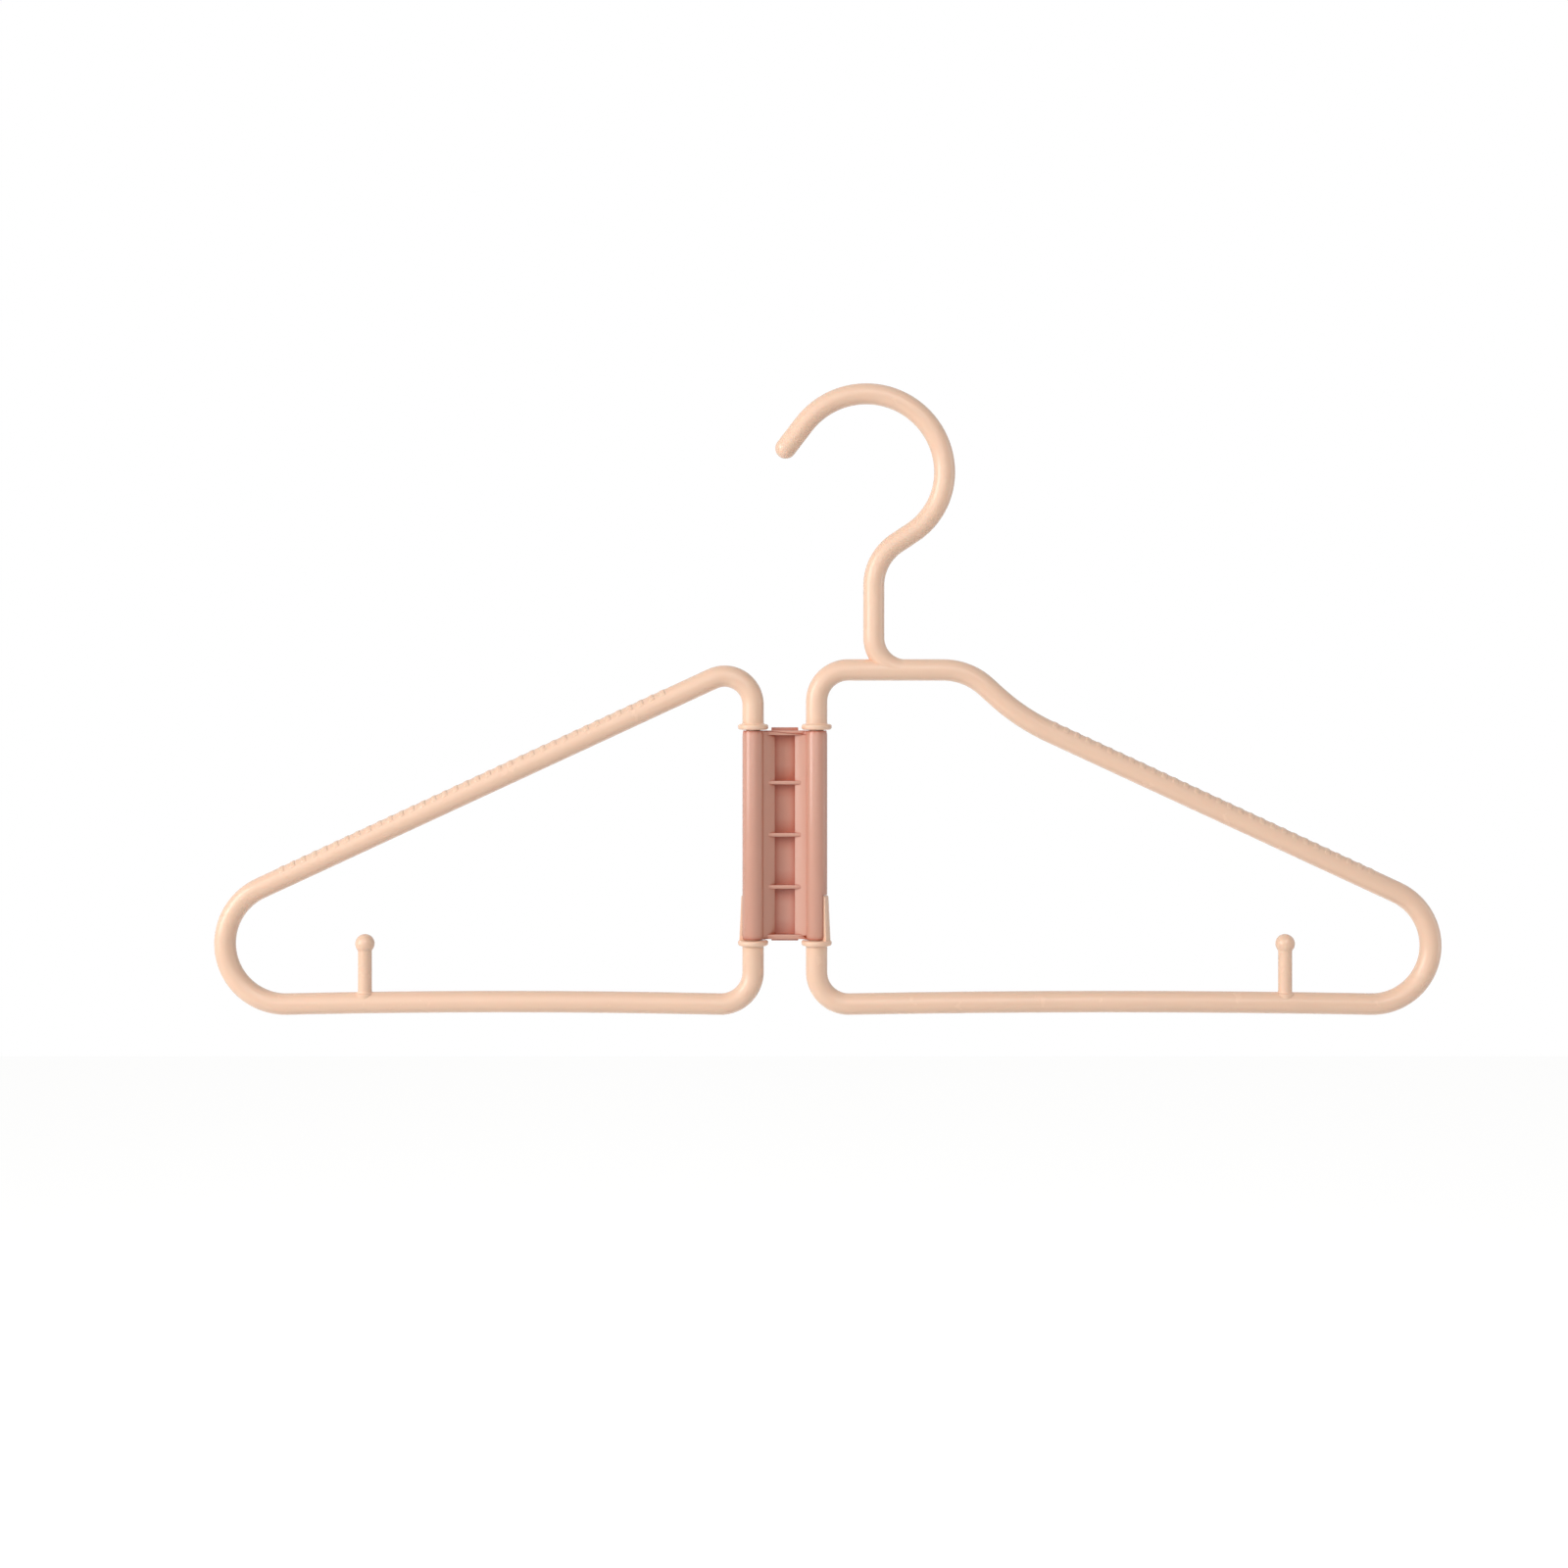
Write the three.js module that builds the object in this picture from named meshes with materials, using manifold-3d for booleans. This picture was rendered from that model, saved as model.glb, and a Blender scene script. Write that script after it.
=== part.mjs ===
// Folding travel hanger: two frames of round rod, each turning in one sleeve of a hinge connector.
// Millimetres, +Z up, +Y to the back. The origin is where the hook sits on its rail.
import * as THREE from 'three'
import { mergeVertices } from 'three/addons/utils/BufferGeometryUtils.js'
import Module from 'manifold-3d'

const wasm = await Module()
wasm.setup()

// Whole hanger
const overallWidth = 400
const garmentCentreX = -12.5
const hingeCentreX = -26.5
const hingeSpacing = 20.7
const foldAngle = 90

// Rod of both frames; heights are those of its centreline
const rodDiameter = 7
const bottomBarZ = -195.5
const bottomBow = 0.8
const bottomCornerRadius = 10.5
const shoulderAngle = 24.85

// Hook frame
const hookTipBend = 19.1
const topBarZ = -86.55
const topCornerRadius = 10.3
const neckX = 33.1
const neckAngle = 42.3
const neckRadius = 20.7
const shoulderRadius = 70

// Wing frame
const wingTipBend = 19.8
const wingPeakRadius = 9.3

// Hook, along its centreline
const hookRodDiameter = 6.9
const crownRadius = 25.6
const beakAngle = 52.5
const beakLength = 9.7
const beakDomeDiameter = 6.7
const heelDrop = 34.8
const heelAngle = 33.5
const heelRadius = 23.6
const stemX = 2.5
const stemBendRadius = 16.6
const footRadius = 10.5

// Spindle on the inner bar of each frame, between two collars
const spindleDiameter = 4.7
const collarStep = 1.45
const collarThickness = 1.8
const collarRimRadius = 0.6
const runningGap = 0.3

// Stop lug at the foot of each spindle; its angles run from straight outwards to the back
const lugHeight = 14.6
const lugWidth = 18
const lugTopRadius = 3.9
const lugFootRadius = 4.6
const lugRound = 0.6

// Strap pegs, on either side of their middle
const pegCentreX = -13.4
const pegOffset = 150
const pegDiameter = 4.5
const pegBallDiameter = 6.3
const pegBallHeight = 19.7

// Anti-slip ribs fill the straight shoulder, except an inset at the tip and a run-out at the top
const gripPitch = 3.9
const gripWidth = 2
const gripHeight = 0.25
const gripSpan = 120
const wingGripInset = 9.2
const wingGripRunOut = 15
const hookGripInset = 10.8
const hookGripRunOut = 0.2

// Hinge connector: two open sleeves and the web between them
const sleeveTopZ = -106.3
const sleeveLength = 68
const sleeveWall = 0.85
const frontLipAngle = 2
const notchAngle = -56
const webWall = 1.1
const flankAngle = 22
const flankRecess = 1.45
const channelWidth = 6.6
const channelFloorY = 3.35
const backOverhang = 0.9
const endRibThickness = 1.5
const endRibRecess = 3.1
const crossRibCount = 3
const crossRibThickness = 1.2
const crossRibRecess = 3.35

// How finely round forms are drawn
const rodSides = 16
const turnedSides = 24
const bendStep = 7.5
const rimStep = 30
const gripStep = 20
const fewestBendSteps = 3
const leastStationStep = 0.3

// Sizes that follow from those above
const rodRadius = rodDiameter / 2
const hookRodRadius = hookRodDiameter / 2
const spindleRadius = spindleDiameter / 2
const collarRadius = rodRadius + collarStep
const boreRadius = spindleRadius + runningGap
const sleeveRadius = boreRadius + sleeveWall
const sleeveFootZ = sleeveTopZ - sleeveLength
const topCollarZ = sleeveTopZ + runningGap
const footCollarZ = sleeveFootZ - runningGap - collarThickness
const topBarStartZ = topCollarZ + collarThickness / 2
const footBarEndZ = footCollarZ + collarThickness / 2
const hookBarX = hingeCentreX + hingeSpacing / 2
const wingBarX = hingeCentreX - hingeSpacing / 2
const tipOffset = overallWidth / 2 - rodRadius
const lugClearance = degrees(Math.asin(runningGap / boreRadius))
const lugTo = frontLipAngle + lugClearance + lugWidth
const wingLugFrom = frontLipAngle + lugClearance
const hookLugFrom = notchAngle + lugClearance
const backLipAngle = lugTo + foldAngle + lugClearance
const lugTopZ = footCollarZ + collarThickness + lugHeight

const creamPolypropylene = { color: 0xf3d0b0, roughness: 0.35, metalness: 0 }
const dustyPinkPolypropylene = { color: 0xd6a08c, roughness: 0.4, metalness: 0 }

// Angles

function radians(angle) {
  return angle * Math.PI / 180
}

function degrees(angle) {
  return angle * 180 / Math.PI
}

// Lines in a plane: where they cross, a point along one, and one moved to its left

function line(x, y, heading) {
  const angle = radians(heading)
  return {
    through: new THREE.Vector2(x, y),
    along: new THREE.Vector2(Math.cos(angle), Math.sin(angle)),
  }
}

function pointAlong({ through, along }, distance) {
  return through.clone().addScaledVector(along, distance)
}

function crossing(a, b) {
  const between = b.through.clone().sub(a.through)
  return pointAlong(a, between.cross(b.along) / a.along.cross(b.along))
}

function movedLeft({ through, along }, distance) {
  const left = new THREE.Vector2(-along.y, along.x)
  return { through: through.clone().addScaledVector(left, distance), along }
}

function arc(centreX, centreY, radius, from, to, step = bendStep) {
  const steps = Math.ceil(Math.abs(to - from) / step)
  return Array.from({ length: steps + 1 }, (_, i) => {
    const angle = radians(from + (to - from) * i / steps)
    return new THREE.Vector2(centreX + radius * Math.cos(angle), centreY + radius * Math.sin(angle))
  })
}

// Closed bodies from drawn forms, and the finished piece

function body(geometry) {
  geometry.deleteAttribute('normal')
  geometry.deleteAttribute('uv')
  const welded = mergeVertices(geometry)
  const corners = Array.from(welded.index.array)
  const faces = []
  for (let i = 0; i < corners.length; i += 3) {
    const [a, b, c] = corners.slice(i, i + 3)
    if (a !== b && b !== c && c !== a) faces.push(a, b, c)
  }
  return new wasm.Manifold(new wasm.Mesh({
    numProp: 3,
    vertProperties: new Float32Array(welded.attributes.position.array),
    triVerts: new Uint32Array(faces),
  }))
}

function joined(bodies) {
  return bodies.reduce((whole, part) => whole.add(part))
}

function piece(name, whole, finish) {
  const { vertProperties, triVerts } = whole.getMesh()
  const geometry = new THREE.BufferGeometry()
  geometry.setAttribute('position', new THREE.BufferAttribute(vertProperties, 3))
  geometry.setIndex(new THREE.BufferAttribute(triVerts, 1))
  geometry.computeVertexNormals()
  const mesh = new THREE.Mesh(geometry, new THREE.MeshStandardMaterial(finish))
  mesh.name = name
  return mesh
}

// Forms turned about an upright axis, and forms drawn from above and raised between two heights

function turned(profile) {
  return body(new THREE.LatheGeometry(profile, turnedSides).rotateX(Math.PI / 2))
}

function raised(outline, fromZ, toZ) {
  const geometry = new THREE.ExtrudeGeometry(new THREE.Shape(outline), {
    depth: toZ - fromZ,
    bevelEnabled: false,
  })
  const position = geometry.attributes.position
  for (let i = 0; i < position.count; i++) position.setZ(i, position.getZ(i) > 0 ? toZ : fromZ)
  return body(geometry)
}

function point(x, y) {
  return new THREE.Vector2(x, y)
}

// The angles of a sector run from straight outwards to the back, on either side of the hinge
function sector(side, radius, from, to) {
  const [start, end] = side > 0 ? [from, to] : [180 - to, 180 - from]
  return [point(0, 0), ...arc(0, 0, radius, start, end)]
}

// Round rod along a chain of lines, bent to a radius where each line crosses the next

function bend(before, after, radius) {
  const turn = Math.atan2(before.along.cross(after.along), before.along.dot(after.along))
  const reach = radius * Math.tan(Math.abs(turn) / 2)
  const start = crossing(before, after).addScaledVector(before.along, -reach)
  const centre = movedLeft({ through: start, along: before.along }, radius * Math.sign(turn)).through
  const steps = Math.max(fewestBendSteps, Math.ceil(Math.abs(turn) / radians(bendStep)))
  return Array.from({ length: steps + 1 }, (_, i) => ({
    at: start.clone().rotateAround(centre, turn * i / steps),
    heading: before.along.clone().rotateAround(point(0, 0), turn * i / steps),
  }))
}

function rodStations(start, lines, radii, end) {
  const bends = radii.flatMap((radius, i) => bend(lines[i], lines[i + 1], radius))
  const last = { at: end, heading: lines[lines.length - 1].along }
  const stations = [{ at: start, heading: lines[0].along }]
  for (const station of [...bends, last]) {
    const previous = stations[stations.length - 1]
    if (station.at.distanceTo(previous.at) > leastStationStep) stations.push(station)
  }
  return stations
}

class RodPath extends THREE.Curve {
  constructor(side, stations) {
    super()
    this.side = side
    this.stations = stations
  }

  station(share) {
    return this.stations[Math.round(share * (this.stations.length - 1))]
  }

  getPointAt(share) {
    const { at } = this.station(share)
    return new THREE.Vector3(this.side * at.x, 0, at.y)
  }

  getTangentAt(share) {
    const { heading } = this.station(share)
    return new THREE.Vector3(this.side * heading.x, 0, heading.y)
  }
}

function rod(side, radius, stations) {
  const section = new THREE.Shape(arc(0, 0, radius, 0, 360, 360 / rodSides).slice(1))
  return body(new THREE.ExtrudeGeometry(section, {
    steps: stations.length - 1,
    extrudePath: new RodPath(side, stations),
  }))
}

// Spindle with its two collars

function collar(footZ) {
  const rim = collarRadius - collarRimRadius
  const topZ = footZ + collarThickness
  return [
    ...arc(rim, footZ + collarRimRadius, collarRimRadius, -90, 0, rimStep),
    ...arc(rim, topZ - collarRimRadius, collarRimRadius, 0, 90, rimStep),
  ]
}

function spindle() {
  return turned([
    point(0, footCollarZ),
    ...collar(footCollarZ),
    point(spindleRadius, footCollarZ + collarThickness),
    point(spindleRadius, topCollarZ),
    ...collar(topCollarZ),
    point(0, topCollarZ + collarThickness),
  ])
}

function lug(side, from) {
  const wholeRing = turned([
    point(0, footBarEndZ),
    point(lugFootRadius, footBarEndZ),
    ...arc(lugTopRadius - lugRound, lugTopZ - lugRound, lugRound, 0, 90, rimStep),
    point(0, lugTopZ),
  ])
  const wedge = sector(side, collarRadius, from, lugTo)
  return wholeRing.intersect(raised(wedge, footCollarZ, lugTopZ + runningGap))
}

// Strap peg with a ball end

function peg() {
  const ballRadius = pegBallDiameter / 2
  const ballZ = bottomBarZ + pegBallHeight
  const throatAngle = -degrees(Math.acos(pegDiameter / pegBallDiameter))
  return turned([
    point(0, bottomBarZ),
    point(pegDiameter / 2, bottomBarZ),
    ...arc(0, ballZ, ballRadius, throatAngle, 90, rimStep),
  ])
}

// Anti-slip ribs, counted from the tip of the shoulder

function grip(side, { at, heading }) {
  const from = 90 - gripSpan / 2
  const to = 90 + gripSpan / 2
  const band = new THREE.Shape([
    ...arc(0, 0, rodRadius + gripHeight, from, to, gripStep),
    ...arc(0, 0, rodRadius / 2, to, from, gripStep),
  ])
  const geometry = new THREE.ExtrudeGeometry(band, { depth: gripWidth, bevelEnabled: false })
  const forward = new THREE.Vector3(side * heading.x, 0, heading.y)
  const up = new THREE.Vector3(-side * heading.y, 0, heading.x)
  const place = new THREE.Matrix4().makeBasis(up.clone().cross(forward), up, forward)
  place.setPosition(side * at.x, 0, at.y)
  return body(geometry.translate(0, 0, -gripWidth / 2).applyMatrix4(place))
}

function grips(side, shoulder, straightLength, inset, runOut) {
  const count = Math.floor((straightLength - inset - runOut) / gripPitch) + 1
  return Array.from({ length: count }, (_, i) => {
    const at = pointAlong(shoulder, -inset - gripPitch * i)
    return grip(side, { at, heading: shoulder.along })
  })
}

// Line that touches a bend drawn about this centre, which lies to its right
function tangent(centre, radius, heading) {
  return movedLeft(line(centre.x, centre.y, heading), radius)
}

// Frame, drawn outwards from the axis of its inner bar

function frame(side, { reach, tipBend, top, topRadii, lugFrom, pegDistance, gripInset, gripRunOut }) {
  const bar = line(0, 0, 90)
  const tip = point(reach - tipBend, bottomBarZ + tipBend)
  const corner = point(bottomCornerRadius, bottomBarZ + bottomCornerRadius)
  const shoulder = tangent(tip, tipBend, -shoulderAngle)
  const upper = [bar, ...top]
  const lastUpper = upper[upper.length - 1]
  const shoulderStart = bend(lastUpper, shoulder, topRadii[topRadii.length - 1]).pop().at
  const straightLength = shoulderStart.distanceTo(shoulder.through)

  // The bottom bar bows upwards all the way between its two bends
  const bottomSlope = degrees(2 * Math.atan(2 * bottomBow / (tip.x - corner.x)))
  const fromTip = tangent(tip, tipBend, 180 - bottomSlope)
  const toCorner = tangent(corner, bottomCornerRadius, 180 + bottomSlope)
  const crest = crossing(fromTip, toCorner)
  const bowReach = Math.min(crest.distanceTo(fromTip.through), crest.distanceTo(toCorner.through))
  const bowRadius = bowReach / Math.tan(radians(bottomSlope))

  const loop = rodStations(
    point(0, topBarStartZ),
    [...upper, shoulder, fromTip, toCorner, bar],
    [...topRadii, tipBend, bowRadius, bottomCornerRadius],
    point(0, footBarEndZ),
  )
  return joined([
    rod(side, rodRadius, loop),
    spindle(),
    lug(side, lugFrom),
    peg().translate([side * pegDistance, 0, 0]),
    ...grips(side, shoulder, straightLength, gripInset, gripRunOut),
  ])
}

function hook() {
  const crownZ = hookRodRadius
  const beak = movedLeft(line(0, crownZ - crownRadius, 180 + beakAngle), -crownRadius)
  const beakEnd = pointAlong(beak, beakLength)
  const stations = rodStations(
    point(stemX + footRadius, topBarZ),
    [
      line(0, topBarZ, 180),
      line(stemX, 0, 90),
      line(crownRadius, -heelDrop, heelAngle),
      line(crownRadius, 0, 90),
      beak,
    ],
    [footRadius, stemBendRadius, heelRadius, crownRadius],
    beakEnd,
  )
  const dome = turned(arc(0, beakEnd.y, beakDomeDiameter / 2, -90, 90, rimStep / 2))
  return rod(1, hookRodRadius, stations).add(dome.translate([beakEnd.x, 0, 0]))
}

function hookFrame() {
  const outer = frame(1, {
    reach: garmentCentreX + tipOffset - hookBarX,
    tipBend: hookTipBend,
    top: [line(0, topBarZ, 0), line(neckX - hookBarX, topBarZ, -neckAngle)],
    topRadii: [topCornerRadius, neckRadius, shoulderRadius],
    lugFrom: hookLugFrom,
    pegDistance: pegCentreX + pegOffset - hookBarX,
    gripInset: hookGripInset,
    gripRunOut: hookGripRunOut,
  })
  return outer.translate([hookBarX, 0, 0]).add(hook())
}

function wingFrame() {
  const outer = frame(-1, {
    reach: wingBarX - garmentCentreX + tipOffset,
    tipBend: wingTipBend,
    top: [],
    topRadii: [wingPeakRadius],
    lugFrom: wingLugFrom,
    pegDistance: wingBarX - pegCentreX + pegOffset,
    gripInset: wingGripInset,
    gripRunOut: wingGripRunOut,
  })
  return outer.translate([wingBarX, 0, 0])
}

// Hinge connector, drawn from above about the middle between its sleeves

// A flank starts this far behind the sleeve's tangent, so the sleeve stands out from the web
function flankLine(depth) {
  const fromAxis = line(hingeSpacing / 2, 0, 180 - flankAngle)
  return movedLeft(fromAxis, sleeveRadius - flankRecess - depth)
}

// Where that line leaves the sleeve
function flankMeets(depth) {
  return 270 - flankAngle - degrees(Math.acos((sleeveRadius - flankRecess - depth) / sleeveRadius))
}

function bothSides(half) {
  const mirrored = half.map(({ x, y }) => point(-x, y))
  return [...half, ...mirrored.reverse()]
}

function connectorOutline() {
  const sleeveX = hingeSpacing / 2
  const lipAngle = 360 + frontLipAngle
  const channelX = channelWidth / 2
  const backX = channelX + webWall
  return bothSides([
    point(channelX, channelFloorY),
    crossing(flankLine(0), line(channelX, 0, 90)),
    ...arc(sleeveX, 0, sleeveRadius, flankMeets(0), lipAngle),
    ...arc(sleeveX, 0, boreRadius, lipAngle, backLipAngle),
    ...arc(sleeveX, 0, sleeveRadius, backLipAngle, flankMeets(webWall)),
    crossing(flankLine(webWall), line(backX, 0, 90)),
    point(backX, channelFloorY + webWall),
  ])
}

function backWall() {
  const backX = channelWidth / 2 + webWall
  const half = [point(backX, channelFloorY), point(backX, channelFloorY + webWall)]
  return raised(bothSides(half), sleeveFootZ - backOverhang, sleeveTopZ + backOverhang)
}

// A rib fills the trough, is rooted half a wall deep all round and stays out of the bores
function webRib(footZ, thickness, recess) {
  const root = webWall / 2
  const rootX = channelWidth / 2 + root
  const half = [
    crossing(flankLine(root), line(0, recess - sleeveRadius, 0)),
    crossing(flankLine(root), line(rootX, 0, 90)),
    point(rootX, channelFloorY + root),
  ]
  const inner = boreRadius + sleeveWall / 2
  const core = turned([
    point(0, footZ - runningGap),
    point(inner, footZ - runningGap),
    point(inner, footZ + thickness + runningGap),
    point(0, footZ + thickness + runningGap),
  ])
  return raised(bothSides(half), footZ, footZ + thickness)
    .subtract(core.translate([hingeSpacing / 2, 0, 0]))
    .subtract(core.translate([-hingeSpacing / 2, 0, 0]))
}

function notch() {
  const opening = sector(1, collarRadius, notchAngle, lugTo)
  const cut = raised(opening, sleeveFootZ - runningGap, lugTopZ + runningGap)
  return cut.translate([hingeSpacing / 2, 0, 0])
}

function hingeConnector() {
  const crossRibs = Array.from({ length: crossRibCount }, (_, i) => {
    const middleZ = sleeveTopZ - sleeveLength * (i + 1) / (crossRibCount + 1)
    return webRib(middleZ - crossRibThickness / 2, crossRibThickness, crossRibRecess)
  })
  const whole = joined([
    raised(connectorOutline(), sleeveFootZ, sleeveTopZ),
    backWall(),
    webRib(sleeveTopZ - endRibThickness, endRibThickness, endRibRecess),
    webRib(sleeveFootZ, endRibThickness, endRibRecess),
    ...crossRibs,
  ])
  return whole.subtract(notch()).translate([hingeCentreX, 0, 0])
}

const hanger = new THREE.Group()
hanger.add(piece('hook_frame', hookFrame(), creamPolypropylene))
hanger.add(piece('wing_frame', wingFrame(), creamPolypropylene))
hanger.add(piece('hinge_connector', hingeConnector(), dustyPinkPolypropylene))

export default hanger
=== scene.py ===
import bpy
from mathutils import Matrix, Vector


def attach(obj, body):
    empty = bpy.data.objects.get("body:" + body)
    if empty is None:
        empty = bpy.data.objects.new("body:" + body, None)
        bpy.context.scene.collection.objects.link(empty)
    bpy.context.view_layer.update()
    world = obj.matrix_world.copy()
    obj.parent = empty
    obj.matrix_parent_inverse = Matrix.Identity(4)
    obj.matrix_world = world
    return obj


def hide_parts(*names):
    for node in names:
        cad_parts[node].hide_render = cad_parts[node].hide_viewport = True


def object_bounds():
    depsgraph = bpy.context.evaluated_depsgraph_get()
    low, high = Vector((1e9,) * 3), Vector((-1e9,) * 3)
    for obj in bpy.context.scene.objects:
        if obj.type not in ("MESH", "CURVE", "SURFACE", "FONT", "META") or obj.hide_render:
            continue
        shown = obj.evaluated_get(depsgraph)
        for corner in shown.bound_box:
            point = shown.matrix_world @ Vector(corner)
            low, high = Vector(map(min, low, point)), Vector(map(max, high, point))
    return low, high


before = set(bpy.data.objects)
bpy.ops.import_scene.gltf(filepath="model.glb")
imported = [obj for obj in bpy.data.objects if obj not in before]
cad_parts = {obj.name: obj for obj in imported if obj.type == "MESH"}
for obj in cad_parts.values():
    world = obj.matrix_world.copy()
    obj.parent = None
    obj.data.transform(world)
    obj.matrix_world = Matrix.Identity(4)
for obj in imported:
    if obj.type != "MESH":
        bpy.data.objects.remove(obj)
CAD_BOX = [list(corner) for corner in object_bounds()]

import math
from typing import NamedTuple

import bmesh
import bpy
from bpy.props import FloatProperty, IntProperty, PointerProperty, StringProperty
from bpy.types import Operator, Panel, PropertyGroup
from mathutils import Matrix, Vector

bl_info = {
    "name": "Folding travel hanger",
    "version": (1, 0, 0),
    "blender": (4, 5, 0),
    "location": "View3D > Sidebar > Hanger",
    "description": "Two rod frames that fold about a sleeve connector, "
                   "with hook, pegs and anti-slip ribs",
    "category": "Object",
}

MM = 0.001

# The photograph, in its own pixels
PHOTO_WIDTH_PX = 1600
PHOTO_SCALE = 0.3195 * MM
SEAT_PX = (883.8, 412.7)

QUARTER_TURN = math.pi / 2

# How finely round forms are drawn
ROD_SIDES = 48
TURNED_SIDES = 64
FEWEST_BEND_STEPS = 8
BEND_STEP = math.radians(4)
RIM_STEP = math.radians(10)
ROUNDED_EDGE_STEPS = 3

# Faces that meet at more than these angles have their edge rounded, or shaded as a crease
ROUNDED_EDGE = math.radians(32)
CREASE = math.radians(50)
GRIP_CREASE = math.radians(70)

# Rounding errors that are let pass: between two points, and as a part of a step
SAME_POINT = MM / 1000
NO_STEP = 1e-6


# Sizes and colours

def length(name, description, millimetres):
    return FloatProperty(name=name, description=description, default=millimetres * MM,
                         unit="LENGTH", subtype="DISTANCE", precision=5)


def angle(name, description, degrees):
    return FloatProperty(name=name, description=description, default=math.radians(degrees),
                         unit="ROTATION", subtype="ANGLE")


class FrameSizes(PropertyGroup):
    overall_width: length("Overall width", "Over both shoulder tips", 399.985)
    garment_centre: length("Garment centre", "Middle of the shoulders, along X", -12.5)
    hinge_centre: length("Hinge centre", "Middle of the connector, along X", -26.5)
    hinge_spacing: length("Hinge spacing", "Between the axes of the two spindles", 20.7)
    rod_diameter: length("Rod diameter", "Rod of both frames", 7)
    bottom_bar: length("Bottom bar height", "Centreline of the bottom bars", -195.495)
    bottom_bow: length("Bottom bow", "Rise of a bottom bar at its middle", 0.8)
    bottom_corner: length("Bottom corner", "Bend between bottom bar and inner bar", 10.5)
    shoulder_angle: angle("Shoulder angle", "Fall of the shoulders", 24.85)
    hook_tip_bend: length("Hook frame tip", "Bend at the shoulder tip", 19.1)
    top_bar: length("Top bar height", "Centreline of the bar that carries the hook", -86.55)
    top_corner: length("Top corner", "Bend between top bar and inner bar", 10.3)
    neck_x: length("Neck", "Where the top bar turns down, along X", 33.1)
    neck_angle: angle("Neck angle", "Fall of the short neck", 42.3)
    neck_bend: length("Neck bend", "Bend from the top bar to the neck", 20.7)
    shoulder_bend: length("Shoulder bend", "Bend from the neck to the shoulder", 70)
    wing_tip_bend: length("Wing frame tip", "Bend at the shoulder tip", 19.8)
    wing_peak_bend: length("Wing peak", "Bend between shoulder and inner bar", 9.3)


class HookSizes(PropertyGroup):
    rod_diameter: length("Hook rod diameter", "Rod of the hook", 6.88)
    crown_bend: length("Crown", "Bend over the rail", 25.6)
    beak_angle: angle("Beak angle", "How far the crown turns past its top", 52.5)
    beak_length: length("Beak length", "Straight end of the hook", 9.7)
    heel_drop: length("Heel drop", "Corner of the heel below the seat", 34.8)
    heel_angle: angle("Heel angle", "Rise of the heel", 33.5)
    heel_bend: length("Heel bend", "Bend at the back of the hook", 23.6)
    stem_x: length("Stem", "Upright stem, along X", 2.5)
    stem_bend: length("Stem bend", "Bend from stem to heel", 16.6)
    foot_bend: length("Foot bend", "Bend from top bar to stem", 10.5)


class HingeSizes(PropertyGroup):
    spindle_diameter: length("Spindle", "Bar inside a sleeve", 4.7)
    collar_step: length("Collar step", "How far a collar stands out of the rod", 1.45)
    collar_thickness: length("Collar thickness", "Height of a collar", 1.8)
    collar_rim: length("Collar rim", "Rounding of a collar's rim", 0.75)
    collar_fillet: length("Collar fillet", "Fillet between rod and collar", 0.5)
    running_gap: length("Running gap", "Between frame and connector", 0.3)
    lug_height: length("Lug height", "Stop lug above its collar", 14.6)
    lug_width: angle("Lug width", "Angle that the wing frame's lug fills", 18)
    lug_top: length("Lug top radius", "From the spindle's axis", 3.9)
    lug_foot: length("Lug foot radius", "From the spindle's axis", 4.6)
    lug_round: length("Lug rounding", "Top edge of a lug", 0.6)
    sleeve_top: length("Sleeve top", "Height of the sleeves' upper end", -106.3)
    sleeve_length: length("Sleeve length", "Height of the connector's sleeves", 68)
    sleeve_wall: length("Sleeve wall", "Thickness of a sleeve", 0.85)
    sleeve_chamfer: length("Sleeve chamfer", "How far a sleeve narrows at its ends", 0.25)
    chamfer_height: length("Chamfer height", "Height of that narrowing", 1.3)
    front_lip: angle("Front lip", "From straight outwards to the back", 2)
    notch: angle("Notch", "Edge of the notch in the hook side's front lip", -56)
    fold: angle("Fold", "How far each hinge turns", 90)
    web_wall: length("Web wall", "Thickness of the web", 1.1)
    flank_angle: angle("Flank angle", "Slope of the trough's flanks", 22)
    flank_recess: length("Flank recess", "Behind the sleeve's tangent", 1.45)
    channel_width: length("Channel width", "Width of the trough's floor", 6.6)
    channel_floor: length("Channel floor", "Depth of the trough's floor behind the spindles", 3.35)
    back_overhang: length("Back overhang", "How far the back wall passes the sleeves", 0.9)
    end_rib: length("End rib", "Thickness of the ribs at the ends", 1.5)
    end_rib_recess: length("End rib recess", "From the front of the sleeves", 3.1)
    cross_rib: length("Cross rib", "Thickness of the ribs between", 1.2)
    cross_rib_recess: length("Cross rib recess", "From the front of the sleeves", 3.35)
    cross_ribs: IntProperty(name="Cross ribs", description="Ribs between the end ribs",
                            default=3, min=0)
    edge_round: length("Edge rounding", "Moulded edges of the connector", 0.16)
    inset: length("Inset", "Keeps faces of walls that overlap apart", 0.02)


class PegSizes(PropertyGroup):
    centre: length("Peg centre", "Middle between the two strap pegs, along X", -13.4)
    offset: length("Peg offset", "From that middle to a peg", 150)
    diameter: length("Peg diameter", "Post of a strap peg", 4.5)
    ball: length("Ball diameter", "Ball end of a strap peg", 6.3)
    ball_height: length("Ball height", "Ball above the bottom bar's centreline", 19.7)
    foot_fillet: length("Foot fillet", "Flare where the post meets its bar", 0.9)
    throat_fillet: length("Throat fillet", "Fillet under the ball", 1.2)


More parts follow.
